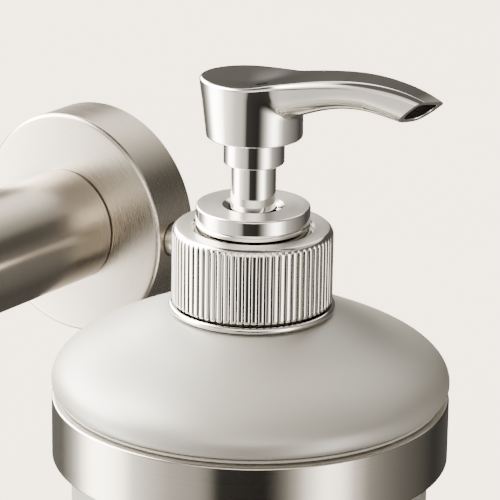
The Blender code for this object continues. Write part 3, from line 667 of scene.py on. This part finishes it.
def pump():
    """Polished disc, stem sleeve and head collar, all turned."""
    low, top = span("pump_collar", "z")
    outer = outer_radius("pump_collar")
    groove = span("closure_shell", "z")[1] + GROOVE_ABOVE_CLOSURE
    profile = [(COUNTERSINK_R, top, 0.15), (outer, top, 0.45), (outer, groove + GROOVE_HALF, 0.12),
               (outer - GROOVE_DEPTH, groove, 0.05), (outer, groove - GROOVE_HALF, 0.12), (outer, low, 0.2),
               (DISC_HOLLOW_R, low), (DISC_HOLLOW_R, low + DISC_FLOOR), (STEM_HOLE_R, low + DISC_FLOOR),
               (STEM_HOLE_R, top - COUNTERSINK_DEPTH, 0.2)]
    disc = lathe("collar_disc", profile, ON_BOTTLE, POLISHED, ("pump", "polished_nickel", "pump_collar"),
                 segments=192)
    satin_faces(disc, TURNED)
    low, top = span("stem_sleeve", "z")
    outline = tube(outer_radius("stem_sleeve"), STEM_BORE_R, low, top, 0.2, 0.1)
    lathe("stem_tube", outline, ON_BOTTLE, POLISHED, ("plunger", "polished_nickel", "stem_sleeve"), segments=128)
    low, top = span("head_collar", "z")
    outer = outer_radius("head_collar")
    shoulder = HEAD_LOW - HEAD_GAP
    socket = low + SLEEVE_SOCKET_DEPTH
    profile = [(SPIGOT_R, top, 0.2), (SPIGOT_R, shoulder, 0.05), (outer, shoulder, 0.25), (outer, low, 0.35),
               (SLEEVE_SOCKET_R, low, 0.15), (SLEEVE_SOCKET_R, socket), (STEM_BORE_R, socket), (STEM_BORE_R, top)]
    lathe("head_sleeve", profile, ON_BOTTLE, POLISHED, ("head", "polished_nickel", "head_collar"), segments=128)


# ---- head
SPOUT_YAW = radians(8)
TOP = 73.8
HEAD_R = 9.85            # at its foot
HEAD_FLARE = 1.75        # how much further back the top reaches
SIDE_TAPER = 0.1         # and how much narrower it is
BACK_OF_SPOUT = -3.0     # the spout's section starts here, inside the head's body
THUMB_AT, THUMB_SIZE, THUMB_DEPTH = -1.0, (7.0, 6.0), 0.6
ROUND, SQUARE = 2.4, 3.3                 # power of the spout's section, at the head and at the mouth
SQUARING = 26.0, 38.0    # reach over which it changes
JOIN, JOIN_GAIN = 1.0, 1.6               # rounding where body and spout meet, and its gain near the top
BEVEL_CENTRE = 2.2       # the bevel's arc, for a bevel of size 1
BEVEL_R = 2.3
HOLE_SHARE = 0.70        # size of the mouth's hollow within its outline
LIP_POINTS = 96          # round the mouth
HOLLOW_ROWS = 5          # rings of points from the hollow's rim inwards; these get the painted shade
HOLLOW_UNIT = 0.6        # its depths are multiples of this
MOUTH_TIP = (39.3, 0.0, 74.5)
MOUTH_HALF = 3.3         # from the tip to about the middle of the mouth
PAST_MOUTH = 9.0         # wider than the mouth in any direction
MOUTH_DOWN, MOUTH_ASIDE = radians(45), radians(-30)
MOUTH_NORMAL = (cos(MOUTH_DOWN) * cos(MOUTH_ASIDE), cos(MOUTH_DOWN) * sin(MOUTH_ASIDE), -sin(MOUTH_DOWN))
SPINE_STEP = 0.3         # between the bevel's rays along the spout
PROBE = 0.01             # step for a field's slope
HEAD_GRAIN = 0.3
# reach, rise of the top, half width, depth, tilt of the section, size of the top's bevel
STATIONS = np.array([
    (-12.0, 0.0, 6.0, 6.5, 0.0, 0.32),
    (-4.0, 0.0, 7.2, 7.2, 0.0, 0.32),
    (2.0, 0.15, 7.4, 8.2, 2.0, 0.36),
    (8.0, 1.15, 7.3, 7.9, 7.0, 0.56),
    (16.0, 2.62, 6.3, 6.6, 8.0, 0.82),
    (24.0, 3.41, 5.2, 6.35, 0.0, 0.90),
    (32.0, 2.85, 4.15, 6.7, -14.0, 0.86),
    (40.0, 0.35, 3.3, 6.6, -37.0, 0.66),
    (44.0, -1.9, 2.9, 6.4, -46.0, 0.55),
])


def natural_spline(xs, ys):
    """The natural cubic spline through the points, as a function."""
    count = len(xs)
    steps = np.diff(xs)
    matrix = np.eye(count)
    right = np.zeros(count)
    for i in range(1, count - 1):
        matrix[i, i - 1] = steps[i - 1]
        matrix[i, i] = 2 * (steps[i - 1] + steps[i])
        matrix[i, i + 1] = steps[i]
        right[i] = 6 * ((ys[i + 1] - ys[i]) / steps[i] - (ys[i] - ys[i - 1]) / steps[i - 1])
    bend = np.linalg.solve(matrix, right)

    def evaluate(x):
        x = np.clip(x, xs[0], xs[-1])
        k = np.clip(np.searchsorted(xs, x) - 1, 0, count - 2)
        a = (xs[k + 1] - x) / steps[k]
        b = (x - xs[k]) / steps[k]
        curve = (a ** 3 - a) * bend[k] + (b ** 3 - b) * bend[k + 1]
        return a * ys[k] + b * ys[k + 1] + curve * steps[k] ** 2 / 6

    return evaluate


RISE, HALF, DEPTH, TILT, BEVEL = (natural_spline(STATIONS[:, 0], STATIONS[:, k]) for k in range(1, 6))


def soft_max(a, b, reach):
    """The larger value, rounded where the two are closer than reach."""
    blend = np.maximum(reach - np.abs(a - b), 0.0) / reach
    return np.maximum(a, b) + blend ** 3 * reach / 6


def soft_min(a, b, reach):
    return -soft_max(-a, -b, reach)


def below_top(points):
    """Reach of the section through each point, and the point's height over the section's flat top."""
    x, z = points[:, 0], points[:, 2]
    reach = x.copy()
    for _ in range(4):
        lean = np.radians(TILT(reach))
        drop = (z - TOP - RISE(reach)) / np.cos(lean)
        reach = x + drop * np.sin(lean)
    return reach, drop


def fade(value, start, end):
    return np.clip((value - start) / (end - start), 0.0, 1.0)


def side_field(points):
    """About the signed distance to the head's walls, carried on straight up past its top."""
    x, y, z = points.T
    reach, drop = below_top(points)
    half, depth = HALF(reach), DEPTH(reach)
    power = ROUND + (SQUARE - ROUND) * fade(reach, *SQUARING)
    spout = ((np.abs(y) / half) ** power + (np.maximum(-drop, 0.0) / depth) ** power) ** (1 / power)
    spout = soft_max((spout - 1) * np.minimum(half, depth) * 0.92, BACK_OF_SPOUT - x, 1.0)
    level = np.clip((z - HEAD_LOW) / (TOP - HEAD_LOW), 0.0, 1.15)
    along = np.where(x < 0, HEAD_R + HEAD_FLARE * level, HEAD_R)
    side = HEAD_R - SIDE_TAPER * level
    body = (np.hypot(x / along, y / side) - 1) * side
    join = JOIN + JOIN_GAIN * fade(z, TOP - 5.0, TOP - 0.5)
    return soft_min(soft_max(body, HEAD_LOW - z, 0.5), spout, join)


def top_field(points):
    """Over the top surface, with its shallow hollow for a thumb."""
    x, y = points[:, 0], points[:, 1]
    hollow = THUMB_DEPTH * np.exp(-((x - THUMB_AT) / THUMB_SIZE[0]) ** 2 - (y / THUMB_SIZE[1]) ** 2)
    return below_top(points)[1] + hollow


def bevel_field(points):
    """Outside the rounded bevel that joins walls and top."""
    reach, drop = below_top(points)
    size = BEVEL(reach)
    centre = BEVEL_CENTRE * size
    wall = side_field(points)
    return np.hypot(np.maximum(wall + centre, 0.0), np.maximum(drop + centre, 0.0)) - BEVEL_R * size


def mouth_field(points):
    """In front of the mouth's plane."""
    return (points - np.array(MOUTH_TIP)) @ np.array(MOUTH_NORMAL)


def slope(field, points):
    """Gradient of a field at each point."""
    columns = []
    for axis in range(3):
        shift = np.zeros(3)
        shift[axis] = PROBE
        columns.append((field(points + shift) - field(points - shift)) / (2 * PROBE))
    return np.stack(columns, axis=1)


def pull(points, field, turns=1):
    """Short Newton steps towards a field's zero surface."""
    for _ in range(turns):
        lean = slope(field, points)
        size = np.maximum((lean ** 2).sum(axis=1), 0.05)
        points = points - lean * np.clip(field(points) / size, -0.6, 0.6)[:, None]
    return points


def clip(points, triangles, surface, limit):
    """Keep the part of a mesh where the limit field is negative; its new rim lies on both fields' zero."""
    value = limit(points)
    inside = value[triangles] <= 0
    kept = triangles[inside.all(axis=1)]
    crossed = triangles[inside.any(axis=1) & ~inside.all(axis=1)]
    made, rims, faces = {}, [], []

    def rim(a, b):
        key = (min(a, b), max(a, b))
        if key not in made:
            share = value[a] / (value[a] - value[b])
            made[key] = len(points) + len(rims)
            rims.append(points[a] + (points[b] - points[a]) * share)
        return made[key]

    for triangle in crossed:
        outline = []
        for a, b in zip(triangle, np.roll(triangle, -1)):
            if value[a] <= 0:
                outline.append(a)
            if (value[a] <= 0) != (value[b] <= 0):
                outline.append(rim(a, b))
        faces += [(outline[0], outline[i], outline[i + 1]) for i in range(1, len(outline) - 1)]
    edge = np.array(rims)
    for _ in range(4):
        edge = pull(pull(edge, limit), surface)
    return np.vstack([points, edge]), np.vstack([kept, np.array(faces, int)])


def read_rows(items, name, width, kind):
    """One property of all the items of a mesh, a row for each."""
    values = np.zeros(len(items) * width, kind)
    items.foreach_get(name, values)
    return values.reshape(-1, width)


def rough_walls():
    """Overlapping block-out of the head's walls, welded by a voxel remesh: points, triangles and edges."""
    turns = [2 * pi * i / 48 for i in range(48)]
    past_top = 1.6
    body = [[(cos(t) * r, sin(t) * r, z) for t in turns] for r, z in ((9.7, HEAD_LOW), (10.3, TOP + past_top))]
    spout = []
    for reach in np.linspace(0.0, 43.5, 30):
        half, depth, lean = HALF(reach), DEPTH(reach), radians(TILT(reach))
        ring = []
        for t in turns:
            across = cos(t) * half * 0.97
            drop = sin(t) * (depth if sin(t) < 0 else past_top)
            ring.append((reach - drop * sin(lean), across, TOP + RISE(reach) + drop * cos(lean)))
        spout.append(ring)
    work = bmesh.new()
    for rings in (body, spout):
        skin(work, [[work.verts.new(Vector(point) * MM) for point in ring] for ring in rings], capped=True)
    bmesh.ops.recalc_face_normals(work, faces=work.faces)
    obj = add_object("rough_head", make_mesh("rough_head", work))
    remesh = obj.modifiers.new("Voxels", "REMESH")
    remesh.mode = "VOXEL"
    remesh.voxel_size = HEAD_GRAIN * MM
    fine = modified_mesh(obj)
    bpy.data.objects.remove(obj, do_unlink=True)
    fine.calc_loop_triangles()
    return (read_rows(fine.vertices, "co", 3, float) / MM, read_rows(fine.loop_triangles, "vertices", 3, np.int32),
            read_rows(fine.edges, "vertices", 2, np.int32))


def relax(points, edges):
    """Even out the points by moving each towards the mean of its neighbours."""
    total = np.zeros_like(points)
    counts = np.zeros(len(points))
    for a, b in ((0, 1), (1, 0)):
        np.add.at(total, edges[:, a], points[edges[:, b]])
        np.add.at(counts, edges[:, a], 1)
    return points * 0.5 + total / counts[:, None] * 0.5


def wall_patch():
    """The head's walls up to the bevel and the mouth: points, triangles and normals."""
    points, triangles, edges = rough_walls()
    for _ in range(4):
        points = relax(pull(points, side_field, 2), edges)
    points = pull(points, side_field, 3)
    points, triangles = clip(points, triangles, side_field, bevel_field)
    points, triangles = clip(points, triangles, side_field, mouth_field)
    return points, triangles, slope(side_field, points)


def grid_triangles(rows, columns, closed=False):
    """Triangles over rows of points; a closed grid joins each row's ends."""
    faces = []
    for i in range(rows - 1):
        for j in range(columns if closed else columns - 1):
            a, b = i * columns + j, i * columns + (j + 1) % columns
            faces += [(a, b, b + columns), (a, b + columns, a + columns)]
    return np.array(faces)


def top_patch():
    """The head's top within the bevel: a level grid dropped onto the top's field."""
    pitch = HEAD_GRAIN * 1.3
    along = np.arange(-13.0, 43.0, pitch)
    across = np.linspace(-11.0, 11.0, int(22.0 / pitch))
    x, y = (axis.ravel() for axis in np.meshgrid(along, across, indexing="ij"))
    points = np.stack([x, y, TOP + RISE(x)], axis=1)
    for _ in range(6):
        points[:, 2] -= top_field(points)
    triangles = grid_triangles(len(along), len(across))
    points, triangles = clip(points, triangles, top_field, bevel_field)
    points, triangles = clip(points, triangles, top_field, mouth_field)
    return points, triangles, slope(top_field, points)


def bevel_miss(starts, rays, angle, distance, height):
    """How far a point on each ray is from its place on the bevel's arc, by the wall and by the top."""
    points = np.column_stack([starts + rays * distance[:, None], height])
    reach, drop = below_top(points)
    size = BEVEL(reach)
    wall = side_field(points) - (BEVEL_R * cos(angle) - BEVEL_CENTRE) * size
    return wall, drop - (BEVEL_R * sin(angle) - BEVEL_CENTRE) * size


def bevel_patch():
    """Strip between walls and top: rays run out from the spine and stop where walls and top call for it."""
    fan = np.radians(np.linspace(90, 270, 120))
    sides = np.arange(SPINE_STEP, STATIONS[-1, 0], SPINE_STEP)
    spine = np.stack([sides, sides * 0], 1)
    starts = np.concatenate([spine[::-1], np.zeros((len(fan), 2)), spine])
    rays = np.concatenate([np.tile((0.0, 1.0), (len(sides), 1)), np.stack([np.cos(fan), np.sin(fan)], 1),
                           np.tile((0.0, -1.0), (len(sides), 1))])
    first = acos(BEVEL_CENTRE / BEVEL_R)
    rows = []
    for angle in np.linspace(first, pi / 2 - first, 9):
        distance = np.full(len(starts), 6.0)
        height = TOP + RISE(starts[:, 0])
        for _ in range(14):
            wall, drop = bevel_miss(starts, rays, angle, distance, height)
            further = bevel_miss(starts, rays, angle, distance + PROBE, height)
            higher = bevel_miss(starts, rays, angle, distance, height + PROBE)
            wall_d, drop_d = further[0] - wall, further[1] - drop
            wall_h, drop_h = higher[0] - wall, higher[1] - drop
            size = wall_d * drop_h - wall_h * drop_d
            size = np.where(np.abs(size) < 1e-7, 1e-7, size)
            distance = distance - np.clip(PROBE * (wall * drop_h - wall_h * drop) / size, -1.5, 1.5)
            height = height - np.clip(PROBE * (wall_d * drop - wall * drop_d) / size, -1.5, 1.5)
        rows.append(np.column_stack([starts + rays * distance[:, None], height]))
    grid = grid_triangles(len(rows), len(starts))
    points, triangles = clip(np.vstack(rows), grid, bevel_field, mouth_field)
    return points, triangles, slope(bevel_field, points)


def mouth_patch():
    """Flat lip round the mouth, then a shallow hollow, painted near black as the shade of the bore that runs back
    into the spout.
    """
    normal = np.array(MOUTH_NORMAL)
    across = np.cross(normal, (0.0, 0.0, 1.0))
    across /= np.linalg.norm(across)
    up = np.cross(across, normal)
    turns = np.linspace(0, 2 * pi, LIP_POINTS + 1)[:-1]
    rays = np.cos(turns)[:, None] * across + np.sin(turns)[:, None] * up
    core = np.array(MOUTH_TIP) - up * MOUTH_HALF
    for _ in range(4):
        near, far = np.zeros(LIP_POINTS), np.full(LIP_POINTS, PAST_MOUTH)
        for _ in range(24):
            half = (near + far) / 2
            points = core + rays * half[:, None]
            outside = np.maximum(np.maximum(side_field(points), top_field(points)), bevel_field(points)) > 0
            near, far = np.where(outside, near, half), np.where(outside, half, far)
        outline, centre = core + rays * near[:, None], core
        core = core + (rays * (near ** 3)[:, None]).sum(axis=0) / (near ** 2).sum() * 2 / 3
    inward = -normal * HOLLOW_UNIT
    rows, normals = [outline], [np.tile(normal, (LIP_POINTS, 1))]
    # share of the outline, depth and lean of the normal towards the middle, for each ring inwards
    for size, depth, lean in ((HOLE_SHARE + 0.04, 0.0, 0.0), (HOLE_SHARE + 0.015, 0.05, 0.8), (HOLE_SHARE, 0.2, 1.5),
                              (HOLE_SHARE - 0.02, 0.7, 1.5), (HOLE_SHARE - 0.25, 1.6, 1.0), (0.2, 1.8, 0.0)):
        rows.append(centre + (outline - centre) * size + inward * depth)
        normals.append(normal * cos(lean) - rays * sin(lean))
    rows.append(np.tile(rows[-1].mean(axis=0), (LIP_POINTS, 1)))
    normals.append(np.tile(normal, (LIP_POINTS, 1)))
    triangles = grid_triangles(len(rows), LIP_POINTS, closed=True)
    return np.vstack(rows), triangles[:, ::-1], np.vstack(normals)


def head():
    """Walls, bevel, top and mouth are separate patches, so each edge between them stays crisp."""
    points, triangles, normals, count = [], [], [], 0
    for patch in (wall_patch(), top_patch(), bevel_patch(), mouth_patch()):
        used, faces = np.unique(patch[1], return_inverse=True)
        points.append(patch[0][used])
        normals.append(patch[2][used])
        triangles.append(faces.reshape(-1, 3) + count)
        count += len(used)
    points, triangles, normals = np.vstack(points), np.vstack(triangles), np.vstack(normals)
    normals /= np.maximum(np.linalg.norm(normals, axis=1), 1e-9)[:, None]
    corners = points[triangles]
    facing = np.cross(corners[:, 1] - corners[:, 0], corners[:, 2] - corners[:, 0])
    backward = (facing * normals[triangles].mean(axis=1)).sum(axis=1) < 0
    triangles[backward] = triangles[backward][:, ::-1]
    mesh = bpy.data.meshes.new("head_shell")
    mesh.from_pydata((points * MM).tolist(), [], triangles.tolist())
    turn = ON_BOTTLE @ Matrix.Rotation(SPOUT_YAW, 4, "Z")
    obj = new_object("head_shell", mesh, turn, POLISHED)
    mesh.materials.append(PAINTED_BORE_SHADE)
    # the hollow's inner rings take the near-black painted shade
    dark = triangles.min(axis=1) >= count - LIP_POINTS * HOLLOW_ROWS
    mesh.polygons.foreach_set("material_index", dark.astype(np.int32))
    mesh.shade_smooth()
    mesh.normals_split_custom_set_from_vertices(normals.tolist())
    finish_piece(obj, "head", "polished_nickel", "pump_head")


# ---- CAD pieces that keep their shape
def dress_frame_nodes():
    finishes = {
        STEEL: ("wall_bracket", "rosette_grub_screw", "arm_clamp_screw", "ring_screw", "inlet_ball", "outlet_ball"),
        WHITE: ("closure_insert", "pump_housing", "stem_guide", "valve_cage", "piston", "piston_stem", "spout_liner"),
        RUBBER: ("neck_gasket",),
        CLEAR: ("dip_tube",),
    }
    for material, names in finishes.items():
        for name in names:
            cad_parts[name].material_slots[0].material = material


# ---- studio
CAMERA_AZIMUTH = 35.9
CAMERA_ELEVATION = 18.66
CAMERA_DISTANCE = 611.3
CAMERA_ROLL = 0.82
CAMERA_LENS = 216.0
TARGET_ABOVE_RING = 30.87
TARGET_ASIDE = -0.51


def camera():
    """Long lens that looks down at the closure from the room's right."""
    data = bpy.data.cameras.new("camera")
    data.lens = CAMERA_LENS
    data.clip_start = 0.01
    data.clip_end = 20.0
    obj = add_object("camera", data)
    azimuth, elevation = radians(CAMERA_AZIMUTH), radians(CAMERA_ELEVATION)
    back = Vector((sin(azimuth) * cos(elevation), -cos(azimuth) * cos(elevation), sin(elevation)))
    right = Vector((cos(azimuth), sin(azimuth), 0.0))
    target = Vector((AXIS_X, AXIS_Y, RING_TOP + TARGET_ABOVE_RING)) + right * TARGET_ASIDE
    place = Matrix.Translation((target + back * CAMERA_DISTANCE) * MM)
    aim = (-back).to_track_quat("-Z", "Y").to_matrix().to_4x4()
    roll = Matrix.Rotation(radians(CAMERA_ROLL), 4, "Z")
    obj.matrix_world = place @ aim @ roll
    bpy.context.scene.camera = obj


# brightness of the studio by direction: degrees from the camera's own direction, positive to its right
LOW_LIGHT = [(-180, 0.12), (-158, 0.2), (-138, 0.25), (-126, 0.9), (-117, 2.6), (-110, 9.0), (-102, 18.0),
             (-90, 17.0), (-80, 11.0), (-71, 3.6), (-60, 2.4), (-48, 1.4), (-36, 1.1), (-30, 1.0), (-24, 0.6),
             (-18, 0.06), (9, 0.035), (14, 0.14), (21, 0.5), (28, 1.4), (36, 4.4), (45, 9.0), (53, 7.5),
             (62, 2.4), (72, 0.8), (84, 0.5), (98, 0.32), (112, 0.22), (132, 0.08), (155, 0.12), (180, 0.12)]
MID_LIGHT = [(-180, 0.17), (-170, 0.6), (-158, 20.0), (-130, 44.0), (-104, 50.0), (-84, 26.0), (-72, 3.0),
             (-61, 0.05), (-46, 0.1), (-26, 3.0), (0, 4.5), (30, 3.0), (46, 0.2), (90, 0.2), (115, 0.1),
             (150, 0.12), (180, 0.17)]
HIGH_LIGHT = [(-180, 4.4), (-166, 3.0), (-155, 0.8), (-140, 8.0), (-118, 40.0), (-88, 24.0), (-66, 4.0),
              (-50, 1.5), (30, 1.2), (60, 0.8), (120, 0.8), (150, 3.0), (180, 4.4)]
UNDER_LIGHT = [(-180, 0.12), (-160, 0.4), (-140, 1.8), (-100, 2.6), (-60, 2.4), (-30, 1.0), (0, 0.2),
               (40, 0.5), (90, 0.3), (180, 0.12)]
ABOVE_LIGHT = 0.15
# where each band gives way to the next, as the sine of the height above the horizon
UNDER_TO_LOW, LOW_TO_MID, MID_TO_HIGH, HIGH_TO_ABOVE = (-0.85, -0.6), (0.02, 0.30), (0.45, 0.60), (0.80, 0.92)
WARM = (1.0, 0.95, 0.845)
BACKDROP = (4.0, 3.25, 2.6)
MIX_A, MIX_B, MIX_RESULT = 6, 7, 2       # a Mix node's colour sockets


def lit_colour(value):
    return tuple(value * tint for tint in WARM)


def studio():
    """Soft panels to the left and right with a dark gap between them, as a world round the object."""
    nodes = Nodes("studio", bpy.data.worlds, "Background")
    bpy.context.scene.world = nodes.owner
    mapping = nodes.add("Mapping", nodes.add("TexCoord").outputs["Generated"])
    mapping.inputs["Rotation"].default_value = (0.0, 0.0, radians(90 - CAMERA_AZIMUTH))
    split = nodes.add("SeparateXYZ", mapping.outputs["Vector"])
    height = split.outputs["Z"]
    angle = nodes.math("ARCTAN2", split.outputs["Y"], split.outputs["X"])
    share = nodes.remap(angle, 0.0, 1.0, -pi, pi)

    def round_horizon(stops):
        return nodes.ramp(share, [((angle + 180) / 360, lit_colour(value)) for angle, value in stops])

    def blend(factor, first, second):
        mix = nodes.add("Mix", factor, data_type="RGBA")
        for source, target in ((first, mix.inputs[MIX_A]), (second, mix.inputs[MIX_B])):
            if isinstance(source, tuple):
                target.default_value = (*source, 1.0)
            else:
                nodes.link(source, target)
        return mix.outputs[MIX_RESULT]

    def upwards(lower, band, upper):
        """Give way from one look to another over a band of heights."""
        step = nodes.remap(height, 0.0, 1.0, *band, interpolation_type="SMOOTHSTEP")
        return blend(step, lower, upper)

    lit = upwards(round_horizon(UNDER_LIGHT), UNDER_TO_LOW, round_horizon(LOW_LIGHT))
    lit = upwards(lit, LOW_TO_MID, round_horizon(MID_LIGHT))
    lit = upwards(lit, MID_TO_HIGH, round_horizon(HIGH_LIGHT))
    lit = upwards(lit, HIGH_TO_ABOVE, lit_colour(ABOVE_LIGHT))
    seen = blend(nodes.add("LightPath").outputs["Is Camera Ray"], lit, BACKDROP)
    nodes.link(seen, nodes.shader.inputs["Color"])


FLOOR_Z = -0.35          # metres
FLOOR_R = 6.0


def floor():
    """Pale floor that glows a little, so that it is as even as the backdrop."""
    work = bmesh.new()
    bmesh.ops.create_circle(work, cap_ends=True, radius=FLOOR_R, segments=64)
    nodes = Nodes("pale_floor")
    cloud = nodes.noise(nodes.position((3.0, 3.0, 3.0)))
    nodes.blend_colour(cloud, (0.60, 0.57, 0.535), (0.62, 0.59, 0.555))
    nodes.set(Roughness=0.9, Emission_Color=(1.0, 0.76, 0.57, 1.0), Emission_Strength=1.7)
    obj = new_object("floor", make_mesh("floor", work), Matrix.Translation((0.0, 0.0, FLOOR_Z)), nodes.owner)
    obj.visible_glossy = False
    obj.visible_diffuse = False


camera()
studio()
floor()
wall_side()
ring_and_liner()
ring_arm()
bottle()
closure()
return_spring()
pump()
head()
dress_frame_nodes()
